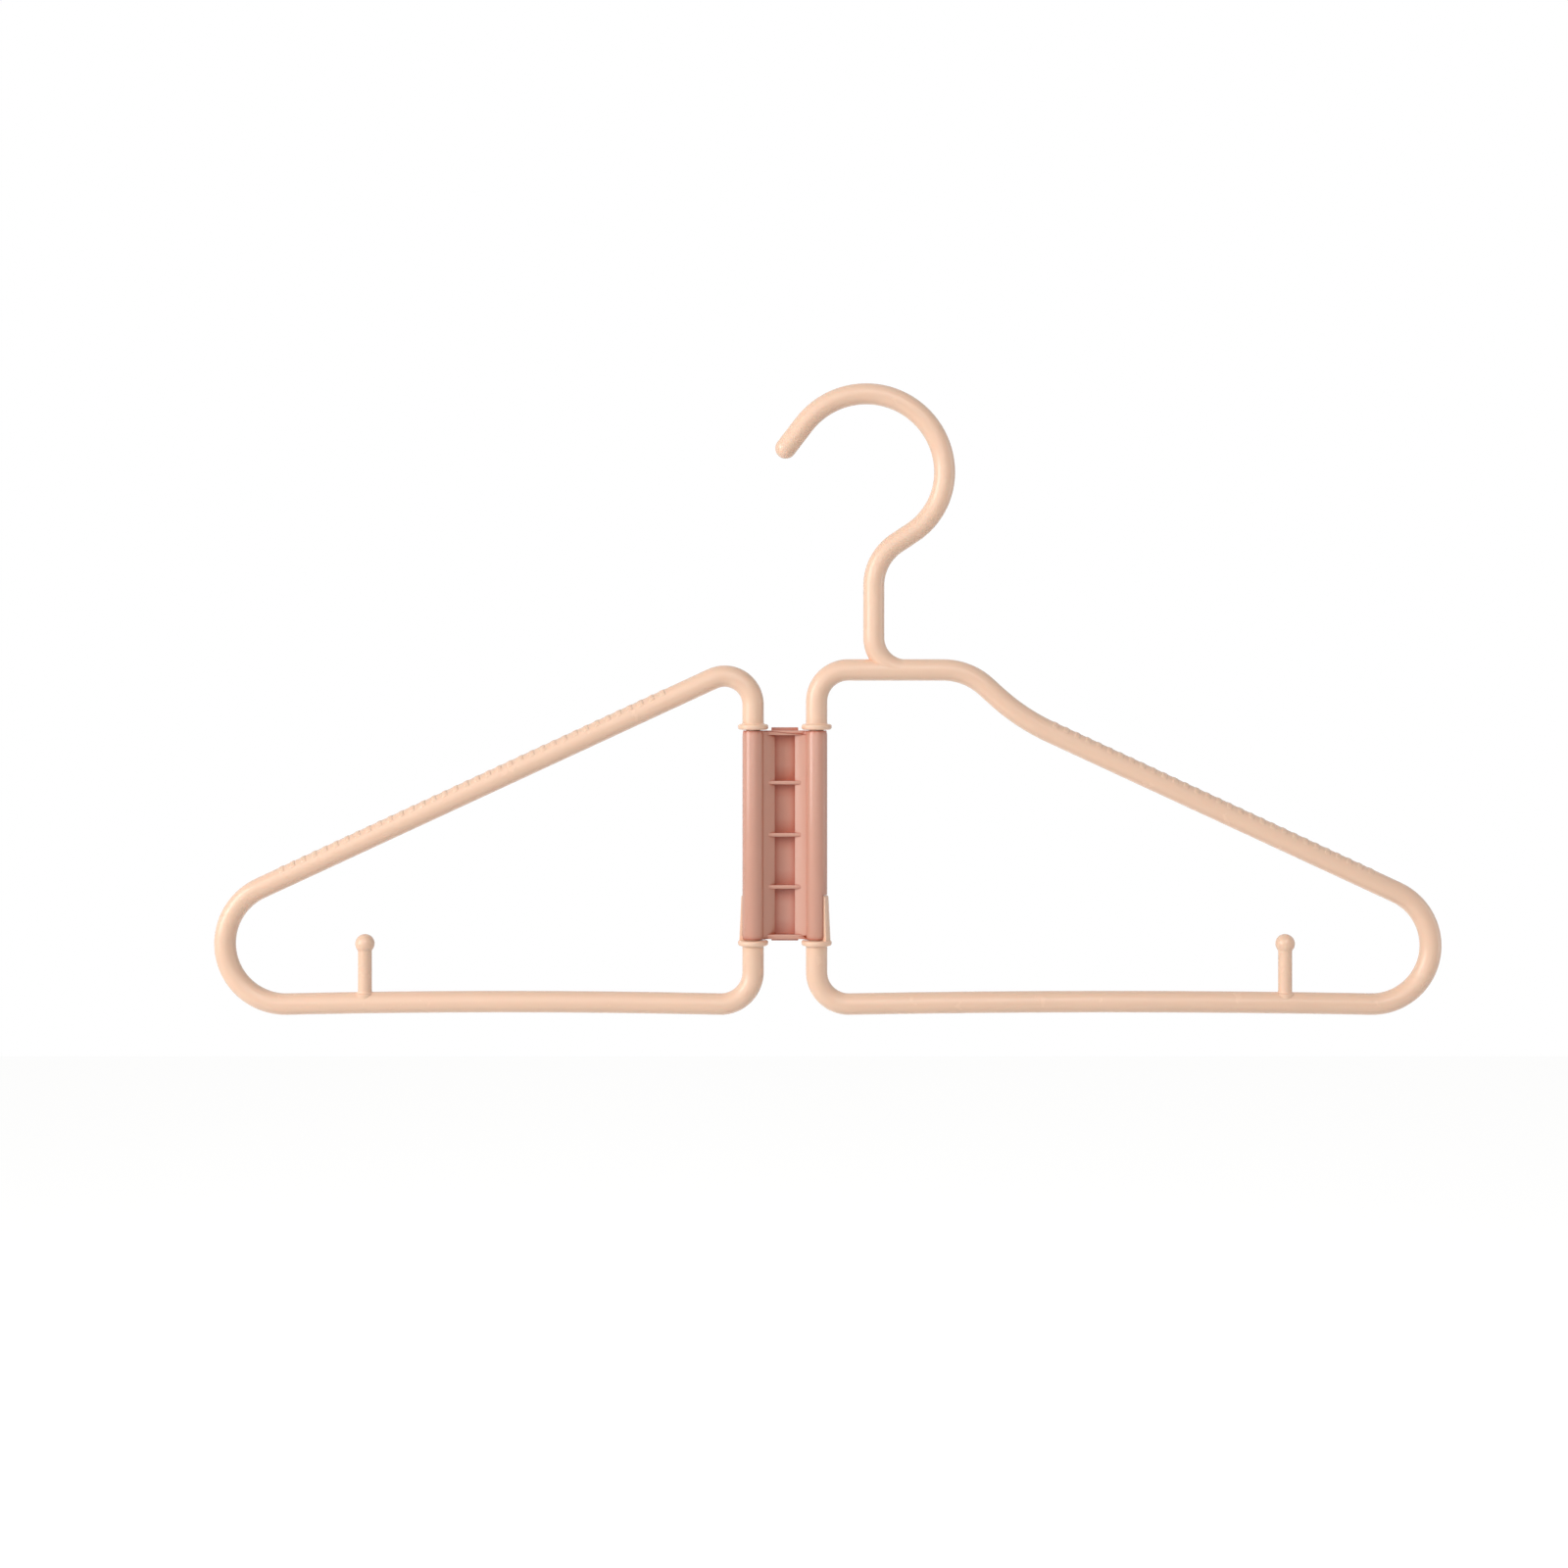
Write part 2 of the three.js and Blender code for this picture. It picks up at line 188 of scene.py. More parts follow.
class GripSizes(PropertyGroup):
    pitch: length("Rib pitch", "Between anti-slip ribs", 3.9)
    width: length("Rib width", "Along the shoulder", 2)
    height: length("Rib height", "Above the rod", 0.19)
    depth: length("Rib root", "Rooted this deep in the rod", 0.5)
    span: angle("Rib span", "Around the rod", 120)
    hook_inset: length("Hook side inset", "First rib from the tip's bend", 10.8)
    hook_count: IntProperty(name="Hook side ribs", description="Anti-slip ribs", default=30, min=1)
    wing_inset: length("Wing side inset", "First rib from the tip's bend", 9.2)
    wing_count: IntProperty(name="Wing side ribs", description="Anti-slip ribs", default=36, min=1)


class FinishColours(PropertyGroup):
    cream: StringProperty(name="Cream", description="Both frames, sRGB hex", default="F4CEB3")
    pink: StringProperty(name="Dusty pink", description="Connector, sRGB hex", default="D39E8A")
    floor: StringProperty(name="Floor", description="Studio floor, sRGB hex", default="F4F3F1")


# Lines in the frame's plane (X, Z), seen from the front

class Line(NamedTuple):
    through: Vector
    along: Vector


def line(x, z, heading):
    return Line(Vector((x, z)), Vector((math.cos(heading), math.sin(heading))))


def cross(a, b):
    return a.x * b.y - a.y * b.x


def crossing(a, b):
    """Point where two lines meet."""
    return a.through + a.along * cross(b.through - a.through, b.along) / cross(a.along, b.along)


def moved_left(a, distance):
    return Line(a.through + Vector((-a.along.y, a.along.x)) * distance, a.along)


def arc(centre_x, centre_y, radius, start, end, step=RIM_STEP):
    """Points from one angle to the other, no more than a step apart."""
    steps = max(1, math.ceil(abs(end - start) / step - NO_STEP))
    angles = (start + (end - start) * i / steps for i in range(steps + 1))
    return [Vector((centre_x + radius * math.cos(a), centre_y + radius * math.sin(a)))
            for a in angles]


# Meshes

def new_object(name, mesh):
    piece = bpy.data.objects.new(name, mesh)
    bpy.context.scene.collection.objects.link(piece)
    return piece


def mesh_from(name, build):
    work = bmesh.new()
    build(work)
    bmesh.ops.remove_doubles(work, verts=work.verts, dist=SAME_POINT)
    bmesh.ops.recalc_face_normals(work, faces=work.faces)
    mesh = bpy.data.meshes.new(name)
    work.to_mesh(mesh)
    work.free()
    return mesh


def skin(work, rings, closed_around=True):
    """Quads between rings of equally many points; a ring with one point is a pole."""
    rows = [[work.verts.new(p) for p in ring] for ring in rings]
    for low, high in zip(rows, rows[1:]):
        count = max(len(low), len(high))
        for i in range(count if closed_around else count - 1):
            j = (i + 1) % count
            corners = [low[i % len(low)], low[j % len(low)],
                       high[j % len(high)], high[i % len(high)]]
            work.faces.new(list(dict.fromkeys(corners)))
    return rows


def turn(work, profile, x=0.0, start=0.0, end=2 * math.pi, sides=TURNED_SIDES):
    """A profile of (radius, z) turned about an upright axis; a part turn gets flat ends."""
    whole = math.isclose(end - start, 2 * math.pi)
    steps = sides if whole else max(2, math.ceil(sides * (end - start) / (2 * math.pi)))
    angles = [start + (end - start) * i / steps for i in range(steps + (not whole))]
    rings = []
    for radius, z in profile:
        if whole and radius < SAME_POINT:
            rings.append([(x, 0.0, z)])
        else:
            rings.append([(x + radius * math.cos(a), radius * math.sin(a), z) for a in angles])
    rows = skin(work, rings, whole)
    if not whole:
        work.faces.new([row[0] for row in rows])
        work.faces.new([row[-1] for row in reversed(rows)])


def stacked(name, outlines):
    """Closed outlines of equally many points, each with its height, skinned and capped."""
    def build(work):
        rows = skin(work, [[(p.x, p.y, z) for p in outline] for outline, z in outlines])
        work.faces.new(rows[0])
        work.faces.new(rows[-1])

    return new_object(name, mesh_from(name, build))


def evaluated(piece):
    """The piece with its modifiers made part of a plain mesh."""
    bpy.context.view_layer.update()
    depsgraph = bpy.context.evaluated_depsgraph_get()
    mesh = bpy.data.meshes.new_from_object(piece.evaluated_get(depsgraph))
    piece.modifiers.clear()
    piece.data = mesh
    return piece


def rounded(piece, width):
    bevel = piece.modifiers.new("Moulded edges", "BEVEL")
    bevel.width = width
    bevel.segments = ROUNDED_EDGE_STEPS
    bevel.limit_method = "ANGLE"
    bevel.angle_limit = ROUNDED_EDGE
    bevel.use_clamp_overlap = True
    return evaluated(piece)


def smooth(piece, sharp_angle=CREASE):
    piece.data.shade_smooth()
    piece.data.set_sharp_from_angle(angle=sharp_angle)
    return piece


def ride(piece, body):
    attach(piece, body)
    return piece


# Nodes

def add_node(tree, kind, settings=None, *values, **inputs):
    """A node with its settings. Its inputs come in order or by name, with _ for a space, and
    each is a value or a socket to link from."""
    node = tree.nodes.new(kind)
    for name, value in (settings or {}).items():
        setattr(node, name, value)
    sockets = [socket for socket in node.inputs if socket.enabled]
    by_name = {socket.name.replace(" ", "_"): socket for socket in reversed(sockets)}
    named = [(by_name[name], value) for name, value in inputs.items()]
    for socket, value in [*zip(sockets, values), *named]:
        if isinstance(value, bpy.types.NodeSocket):
            tree.links.new(value, socket)
        else:
            socket.default_value = value
    return node


def empty_tree(owner):
    """Node tree of a material or a world, with nothing in it."""
    owner.use_nodes = True
    owner.node_tree.nodes.clear()
    return owner.node_tree


def new_tree(name, sockets):
    """A geometry tree whose inputs are (name, socket type)."""
    tree = bpy.data.node_groups.new(name, "GeometryNodeTree")
    tree.interface.new_socket("Geometry", in_out="OUTPUT", socket_type="NodeSocketGeometry")
    tree.interface.new_socket("Geometry", in_out="INPUT", socket_type="NodeSocketGeometry")
    for socket_name, kind in sockets:
        tree.interface.new_socket(socket_name, in_out="INPUT", socket_type=kind)
    return tree, add_node(tree, "NodeGroupInput").outputs


def end_tree(tree, geometry, material):
    real = add_node(tree, "GeometryNodeRealizeInstances", Geometry=geometry)
    painted = add_node(tree, "GeometryNodeSetMaterial", Geometry=real.outputs[0], Material=material)
    add_node(tree, "NodeGroupOutput", Geometry=painted.outputs[0])
    return tree


def grown(piece, tree, **values):
    """The tree's result on the piece, as a plain mesh."""
    modifier = piece.modifiers.new(tree.name, "NODES")
    modifier.node_group = tree
    for item in tree.interface.items_tree:
        name = item.name.replace(" ", "_")
        if item.in_out == "INPUT" and name in values:
            modifier[item.identifier] = values[name]
    return evaluated(piece)


# Materials

def linear(colour):
    """An sRGB hex colour as linear RGBA, by the curve of the sRGB standard."""
    channels = [int(colour[i:i + 2], 16) / 255 for i in (0, 2, 4)]
    return [c / 12.92 if c <= 0.04045 else ((c + 0.055) / 1.055) ** 2.4 for c in channels] + [1.0]


def per_metre(millimetres):
    """Noise scale for a pattern of this size on Object coordinates."""
    return 1 / (millimetres * MM)


def shaded(colour, factor):
    return [c * factor for c in colour[:3]] + [1.0]


def colour_from(node):
    return next(output for output in node.outputs if output.type == "RGBA")


CREAM = "injection_moulded_polypropylene_cream"
PINK = "injection_moulded_polypropylene_dusty_pink"

# Patterns in the plastic: size in millimetres, detail and roughness of the noise
FLOW_CLOUDS = (38, 3.0, 0.55)
ORANGE_PEEL = (1.6, 2.0, 0.5)
SATIN_PATCHES = (7, 4.0, 0.6)

# What they change: brightness of the colour, roughness, and the surface's height
CLOUD_SHADES = (0.955, 1.035)
SATIN_SPREAD = (-0.05, 0.06)
BUMP_STRENGTH = 0.2
BUMP_DEPTH = 0.06 * MM
PARTING_LINE_EDGES = (0.03 * MM, 0.14 * MM)

# Painted shade: a recess is found by how open the surface is within this reach, and there the
# colour is painted darker, down to this red
RECESS_REACH = 5 * MM
RECESS_SAMPLES = 12
OPENNESS_IN_RECESS = 0.46
OPENNESS_OUTSIDE = 0.94
RECESS_PAINTED_SHADE_RED = 0.82

# Light inside polypropylene: how far it goes, and the shares of that for red, green and blue
REFRACTIVE_INDEX = 1.49
LIGHT_REACH = 0.6 * MM
LIGHT_REACH_SHARES = (1.0, 0.4, 0.25)


def moulded_polypropylene(name, colour, roughness, milkiness, painted_recess_shade, parting_line):
    """Injection-moulded polypropylene: even colour with faint flow clouds, a soft gloss, slightly
    uneven like orange peel, and a little light that enters the wall. In a recess the colour is
    painted darker and redder, as painted shade. The frames also have the fine parting line of a
    two-part mould along the middle of their rods."""
    material = bpy.data.materials.new(name)
    tree = empty_tree(material)
    place = add_node(tree, "ShaderNodeTexCoord").outputs["Object"]
    clouds, peel, satin = (
        add_node(tree, "ShaderNodeTexNoise", Vector=place, Scale=per_metre(size),
                 Detail=detail, Roughness=grain).outputs["Fac"]
        for size, detail, grain in (FLOW_CLOUDS, ORANGE_PEEL, SATIN_PATCHES))

    base = linear(colour)
    dark, light = (shaded(base, shade) for shade in CLOUD_SHADES)
    tint = add_node(tree, "ShaderNodeMix", {"data_type": "RGBA"}, clouds, dark, light)
    # Painted shade: the colour is darkened and made redder where the surface is enclosed
    openness = add_node(tree, "ShaderNodeAmbientOcclusion", {"samples": RECESS_SAMPLES},
                        Distance=RECESS_REACH).outputs["AO"]
    recess = add_node(tree, "ShaderNodeMapRange", Value=openness,
                      From_Min=OPENNESS_IN_RECESS, From_Max=OPENNESS_OUTSIDE,
                      To_Min=painted_recess_shade, To_Max=0.0)
    with_painted_recess_shade = add_node(tree, "ShaderNodeMix", {"data_type": "RGBA", "blend_type": "MULTIPLY"},
                        recess.outputs[0], colour_from(tint), shaded(base, RECESS_PAINTED_SHADE_RED / base[0]))

    glossiest, dullest = (roughness + change for change in SATIN_SPREAD)
    gloss = add_node(tree, "ShaderNodeMapRange", Value=satin, To_Min=glossiest, To_Max=dullest)
    height = peel
    if parting_line:
        across = add_node(tree, "ShaderNodeSeparateXYZ", Vector=place).outputs["Y"]
        from_middle = add_node(tree, "ShaderNodeMath", {"operation": "ABSOLUTE"}, across)
        crest, foot = PARTING_LINE_EDGES
        ridge = add_node(tree, "ShaderNodeMapRange", {"interpolation_type": "SMOOTHSTEP"},
                         Value=from_middle.outputs[0],
                         From_Min=crest, From_Max=foot, To_Min=1.0, To_Max=0.0)
        both = add_node(tree, "ShaderNodeMath", {"operation": "ADD"}, peel, ridge.outputs[0])
        height = both.outputs[0]
    bump = add_node(tree, "ShaderNodeBump", Strength=BUMP_STRENGTH, Distance=BUMP_DEPTH,
                    Height=height)
    plastic = add_node(tree, "ShaderNodeBsdfPrincipled", Base_Color=colour_from(with_painted_recess_shade),
                       Roughness=gloss.outputs[0], Normal=bump.outputs[0], IOR=REFRACTIVE_INDEX,
                       Subsurface_Weight=milkiness, Subsurface_Radius=LIGHT_REACH_SHARES,
                       Subsurface_Scale=LIGHT_REACH)
    add_node(tree, "ShaderNodeOutputMaterial", Surface=plastic.outputs[0])
    return material


def finish(name):
    """The hanger's two finishes, made once."""
    if name in bpy.data.materials:
        return bpy.data.materials[name]
    colours = bpy.context.scene.hanger_colours
    # Each finish gets painted shade in its recesses, the pink at full strength
    if name == CREAM:
        return moulded_polypropylene(CREAM, colours.cream, roughness=0.25, milkiness=0.12,
                                     painted_recess_shade=0.25, parting_line=True)
    return moulded_polypropylene(PINK, colours.pink, roughness=0.24, milkiness=0.1,
                                 painted_recess_shade=1.0, parting_line=False)


# Places that several pieces share

class Side(NamedTuple):
    """One frame, drawn outwards from the axis of its inner bar."""
    name: str
    body: str
    node: str
    sign: int
    bar_x: float
    reach: float
    tip_bend: float


def both_sides(context):
    frames = context.scene.hanger_frames
    half = frames.overall_width / 2 - frames.rod_diameter / 2
    hook_bar = frames.hinge_centre + frames.hinge_spacing / 2
    wing_bar = frames.hinge_centre - frames.hinge_spacing / 2
    hook_reach = frames.garment_centre + half - hook_bar
    wing_reach = wing_bar - frames.garment_centre + half
    return [
        Side("hook", "hook_side", "hook_frame", 1, hook_bar, hook_reach, frames.hook_tip_bend),
        Side("wing", "wing_side", "wing_frame", -1, wing_bar, wing_reach, frames.wing_tip_bend),
    ]


def tangent(x, z, radius, heading):
    """Line that touches a bend drawn about (x, z), which lies to its right."""
    return moved_left(line(x, z, heading), radius)


def shoulder_line(context, side):
    """The shoulder's centreline; it passes through the end of the tip's bend."""
    frames = context.scene.hanger_frames
    bend = side.tip_bend
    return tangent(side.reach - bend, frames.bottom_bar + bend, bend, -frames.shoulder_angle)


def collar_heights(context):
    """Foot of the bottom collar and foot of the top collar."""
    hinge = context.scene.hanger_hinge
    foot = hinge.sleeve_top - hinge.sleeve_length - hinge.running_gap - hinge.collar_thickness
    return foot, hinge.sleeve_top + hinge.running_gap


def lug_clearance(hinge):
    return math.asin(hinge.running_gap / (hinge.spindle_diameter / 2 + hinge.running_gap))


def lug_end(hinge):
    return hinge.front_lip + lug_clearance(hinge) + hinge.lug_width


def lug_top_height(context):
    hinge = context.scene.hanger_hinge
    return collar_heights(context)[0] + hinge.collar_thickness + hinge.lug_height


def turned_to(side, start, end):
    """Angles from straight outwards to the back, as angles about +Z."""
    return (start, end) if side.sign > 0 else (math.pi - end, math.pi - start)


# Rods

def rod_tree():
    """A round rod along a chain of edges; each corner has its own bend and number of steps."""
    tree, given = new_tree("rod_with_bends", [
        ("Rod Radius", "NodeSocketFloat"), ("Sides", "NodeSocketInt"),
        ("Material", "NodeSocketMaterial")])
    chain = add_node(tree, "GeometryNodeMeshToCurve", Mesh=given["Geometry"])
    radius = add_node(tree, "GeometryNodeInputNamedAttribute", {"data_type": "FLOAT"}, Name="bend")
    steps = add_node(tree, "GeometryNodeInputNamedAttribute", {"data_type": "INT"}, Name="steps")
    bent = add_node(tree, "GeometryNodeFilletCurve", {"mode": "POLY"}, Curve=chain.outputs[0],
                    Count=steps.outputs[0], Radius=radius.outputs[0], Limit_Radius=True)
    section = add_node(tree, "GeometryNodeCurvePrimitiveCircle", Resolution=given["Sides"],
                       Radius=given["Rod Radius"])
    tube = add_node(tree, "GeometryNodeCurveToMesh", Curve=bent.outputs[0],
                    Profile_Curve=section.outputs[0], Fill_Caps=True)
    return end_tree(tree, tube.outputs[0], given["Material"])


def rod(name, start, lines, bends, end, radius, sign=1, offset_x=0.0):
    """A cream rod along lines in the frames' plane; each of the bends joins two lines."""
    corners = [start, *(crossing(a, b) for a, b in zip(lines, lines[1:])), end]
    mesh = bpy.data.meshes.new(name)
    points = [(offset_x + sign * p.x, 0.0, p.y) for p in corners]
    mesh.from_pydata(points, [(i, i + 1) for i in range(len(points) - 1)], [])
    turns = [abs(a.along.angle(b.along)) for a, b in zip(lines, lines[1:])]
    steps = [max(FEWEST_BEND_STEPS, math.ceil(t / BEND_STEP)) for t in turns]
    mesh.attributes.new("bend", "FLOAT", "POINT").data.foreach_set("value", [0.0, *bends, 0.0])
    mesh.attributes.new("steps", "INT", "POINT").data.foreach_set("value", [1, *steps, 1])
    tree = bpy.data.node_groups.get("rod_with_bends") or rod_tree()
    piece = grown(new_object(name, mesh), tree, Rod_Radius=radius, Sides=ROD_SIDES,
                  Material=finish(CREAM))
    return smooth(piece)


class HANGER_OT_frame_rods(Operator):
    """Closed loops of rod for both frames, from collar to collar"""
    bl_idname = "hanger.frame_rods"
    bl_label = "Frame rods"

    def execute(self, context):
        frames = context.scene.hanger_frames
        hinge = context.scene.hanger_hinge
        foot_collar, top_collar = collar_heights(context)
        bar = line(0, 0, QUARTER_TURN)
        for side in both_sides(context):
            top, bends = [], [frames.wing_peak_bend]
            if side.name == "hook":
                neck = line(frames.neck_x - side.bar_x, frames.top_bar, -frames.neck_angle)
                top = [line(0, frames.top_bar, 0), neck]
                bends = [frames.top_corner, frames.neck_bend, frames.shoulder_bend]
            # The bottom bar bows upwards all the way between its two bends
            bar_z, tip, corner = frames.bottom_bar, side.tip_bend, frames.bottom_corner
            tip_x = side.reach - tip
            slope = 2 * math.atan(2 * frames.bottom_bow / (tip_x - corner))
            from_tip = tangent(tip_x, bar_z + tip, tip, math.pi - slope)
            to_corner = tangent(corner, bar_z + corner, corner, math.pi + slope)
            crest = crossing(from_tip, to_corner)
            reach = min((crest - from_tip.through).length, (crest - to_corner.through).length)
            bow = reach / math.tan(slope)
            lines = [bar, *top, shoulder_line(context, side), from_tip, to_corner, bar]
            piece = rod(f"{side.name}_frame_rod",
                        Vector((0, top_collar + hinge.collar_thickness / 2)), lines,
                        [*bends, tip, bow, corner],
                        Vector((0, foot_collar + hinge.collar_thickness / 2)),
                        frames.rod_diameter / 2, side.sign, side.bar_x)
            ride(piece, side.body)
            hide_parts(side.node)
        return {"FINISHED"}


class HANGER_OT_hook(Operator):
    """Hook, from its foot in the top bar to its rounded end"""
    bl_idname = "hanger.hook"
    bl_label = "Hook"

    def execute(self, context):
        frames = context.scene.hanger_frames
        hook = context.scene.hanger_hook
        radius = hook.rod_diameter / 2
        through_crown = line(0, radius - hook.crown_bend, math.pi + hook.beak_angle)
        beak = moved_left(through_crown, -hook.crown_bend)
        end = beak.through + beak.along * hook.beak_length
        lines = [
            line(0, frames.top_bar, math.pi),
            line(hook.stem_x, 0, QUARTER_TURN),
            line(hook.crown_bend, -hook.heel_drop, hook.heel_angle),
            line(hook.crown_bend, 0, QUARTER_TURN),
            beak]
        bends = [hook.foot_bend, hook.stem_bend, hook.heel_bend, hook.crown_bend]
        foot = Vector((hook.stem_x + hook.foot_bend + radius, frames.top_bar))
        piece = rod("hook_rod", foot, lines, bends, end, radius)
        ball = arc(0, end.y, radius, -QUARTER_TURN, QUARTER_TURN)
        tip = mesh_from("hook_tip", lambda work: turn(work, ball, x=end.x, sides=ROD_SIDES))
        tip.materials.append(finish(CREAM))
        tip_piece = smooth(new_object("hook_tip", tip))
        for made in (piece, tip_piece):
            ride(made, "hook_side")
        return {"FINISHED"}


class HANGER_OT_spindles(Operator):
    """Spindle, two collars and stop lug of each frame"""
    bl_idname = "hanger.spindles"
    bl_label = "Spindles, collars and lugs"

    def execute(self, context):
        hinge = context.scene.hanger_hinge
        rod_radius = context.scene.hanger_frames.rod_diameter / 2
        collar_radius = rod_radius + hinge.collar_step
        foot, top = collar_heights(context)
        thickness, rim, fillet = hinge.collar_thickness, hinge.collar_rim, hinge.collar_fillet
        spindle_radius = hinge.spindle_diameter / 2

        def collar(z):
            inner = collar_radius - rim
            return [*arc(inner, z + rim, rim, -QUARTER_TURN, 0),
                    *arc(inner, z + thickness - rim, rim, 0, QUARTER_TURN)]

        def fillet_below(z):
            return arc(rod_radius + fillet, z - fillet, fillet, math.pi, QUARTER_TURN)

        def fillet_above(z):
            return arc(rod_radius + fillet, z + fillet, fillet, -QUARTER_TURN, -math.pi)

        profile = [
            Vector((0, foot - fillet)), *fillet_below(foot), *collar(foot),
            Vector((spindle_radius, foot + thickness)), Vector((spindle_radius, top)),
            *collar(top), *fillet_above(top + thickness), Vector((0, top + thickness + fillet))]
        top_z, lug_round = lug_top_height(context), hinge.lug_round
        middle = foot + thickness / 2
        lug_profile = [
            Vector((spindle_radius / 2, middle)), Vector((hinge.lug_foot, middle)),
            *arc(hinge.lug_top - lug_round, top_z - lug_round, lug_round, 0, QUARTER_TURN),
            Vector((spindle_radius / 2, top_z))]
        clearance = lug_clearance(hinge)
        for side in both_sides(context):
            start = (hinge.notch if side.name == "hook" else hinge.front_lip) + clearance
            angles = turned_to(side, start, lug_end(hinge))
            spindle = mesh_from("spindle", lambda work: turn(work, profile, x=side.bar_x))
            lug = mesh_from("lug", lambda work: turn(work, lug_profile, side.bar_x, *angles))
            for name, mesh in (("spindle", spindle), ("lug", lug)):
                mesh.materials.append(finish(CREAM))
                piece = new_object(f"{side.name}_{name}", mesh)
                if name == "lug":
                    rounded(piece, hinge.edge_round)
                ride(smooth(piece), side.body)
        return {"FINISHED"}


class HANGER_OT_pegs(Operator):
    """Strap pegs with ball ends on the bottom bars"""
    bl_idname = "hanger.pegs"
    bl_label = "Strap pegs"

    def execute(self, context):
        frames = context.scene.hanger_frames
        pegs = context.scene.hanger_pegs
        post, ball = pegs.diameter / 2, pegs.ball / 2
        ball_z = frames.bottom_bar + pegs.ball_height
        bar_top = frames.bottom_bar + frames.rod_diameter / 2
        flare, throat = pegs.foot_fillet, pegs.throat_fillet
        lean = math.acos((post + throat) / (ball + throat))
        throat_z = ball_z - (ball + throat) * math.sin(lean)
        profile = [
            Vector((0, frames.bottom_bar)), Vector((post + flare, frames.bottom_bar)),
            *arc(post + flare, bar_top + flare, flare, -QUARTER_TURN, -math.pi),
            *arc(post + throat, throat_z, throat, math.pi, math.pi - lean),
            *arc(0, ball_z, ball, -lean, QUARTER_TURN)]
        for side in both_sides(context):
            x = pegs.centre + side.sign * pegs.offset
            mesh = mesh_from(f"{side.name}_strap_peg", lambda work: turn(work, profile, x=x))
            mesh.materials.append(finish(CREAM))
            ride(smooth(new_object(f"{side.name}_strap_peg", mesh)), side.body)
        return {"FINISHED"}


# Anti-slip ribs

# Vertices of a rib along the shoulder, round the rod and through its height
RIB_VERTICES = (9, 21, 2)

# How full a rib is across its width, and how late it drops towards its two ends
CREST_POWER = 3.0
END_POWER = 10.0


def grip_tree():
    """Ribs across the top of a straight rod, at equal steps from the first."""
    tree, given = new_tree("anti_slip_ribs", [
        ("Count", "NodeSocketInt"), ("First", "NodeSocketVector"), ("Step", "NodeSocketVector"),
        ("Tilt", "NodeSocketFloat"), ("Rod Radius", "NodeSocketFloat"),
        ("Rib Width", "NodeSocketFloat"), ("Rib Height", "NodeSocketFloat"),
        ("Rib Root", "NodeSocketFloat"), ("Rib Span", "NodeSocketFloat"),
        ("Material", "NodeSocketMaterial")])
    along_count, round_count, height_count = RIB_VERTICES
    block = add_node(tree, "GeometryNodeMeshCube", Vertices_X=along_count,
                     Vertices_Y=round_count, Vertices_Z=height_count)
    place = add_node(tree, "GeometryNodeInputPosition").outputs[0]
    share = add_node(tree, "ShaderNodeSeparateXYZ", Vector=place).outputs
    known = {socket.name: socket for socket in (*given, *share)}
    # Each row is a result, its operation, and what that works on
    formula = [
        ("along", "MULTIPLY", "X", "Rib Width"),
        # The faces crowd towards both ends, where a rib drops steeply
        ("phase", "MULTIPLY", "Y", math.pi),
        ("way round", "SINE", "phase"),
        ("half span", "MULTIPLY", "Rib Span", 0.5),
        ("swing", "MULTIPLY", "way round", "half span"),
        # The crest is round across the rib's width
        ("twice across", "MULTIPLY", "X", 2.0),
        ("across", "ABSOLUTE", "twice across"),
        ("fall", "POWER", "across", CREST_POWER),
        ("crest", "SUBTRACT", 1.0, "fall"),
        ("from middle", "ABSOLUTE", "way round"),
        ("drop", "POWER", "from middle", END_POWER),
        ("kept", "SUBTRACT", 1.0, "drop"),
        ("fade", "SQRT", "kept"),
        ("share of height", "MULTIPLY", "crest", "fade"),
        ("rise", "MULTIPLY", "share of height", "Rib Height"),
        # The block's underside is the rib's root inside the rod
        ("from underside", "ADD", "Z", 0.5),
        ("depth", "ADD", "rise", "Rib Root"),
        ("lift", "MULTIPLY", "from underside", "depth"),
        ("root radius", "SUBTRACT", "Rod Radius", "Rib Root"),
        ("radius", "ADD", "root radius", "lift"),
        ("sine", "SINE", "swing"),
        ("cosine", "COSINE", "swing"),
        ("sideways", "MULTIPLY", "radius", "sine"),
        ("upwards", "MULTIPLY", "radius", "cosine")]
    for result, operation, *terms in formula:
        known[result] = add_node(tree, "ShaderNodeMath", {"operation": operation},
                                 *(known.get(term, term) for term in terms)).outputs[0]
    bent = add_node(tree, "ShaderNodeCombineXYZ", None,
                    known["along"], known["sideways"], known["upwards"])
    rib = add_node(tree, "GeometryNodeSetPosition", Geometry=block.outputs[0],
                   Position=bent.outputs[0])
    row = add_node(tree, "GeometryNodeMeshLine", Count=given["Count"],
                   Start_Location=given["First"], Offset=given["Step"])
    tilt = add_node(tree, "ShaderNodeCombineXYZ", Y=given["Tilt"])
    ribs = add_node(tree, "GeometryNodeInstanceOnPoints", Points=row.outputs[0],
                    Instance=rib.outputs[0], Rotation=tilt.outputs[0])
    return end_tree(tree, ribs.outputs[0], given["Material"])


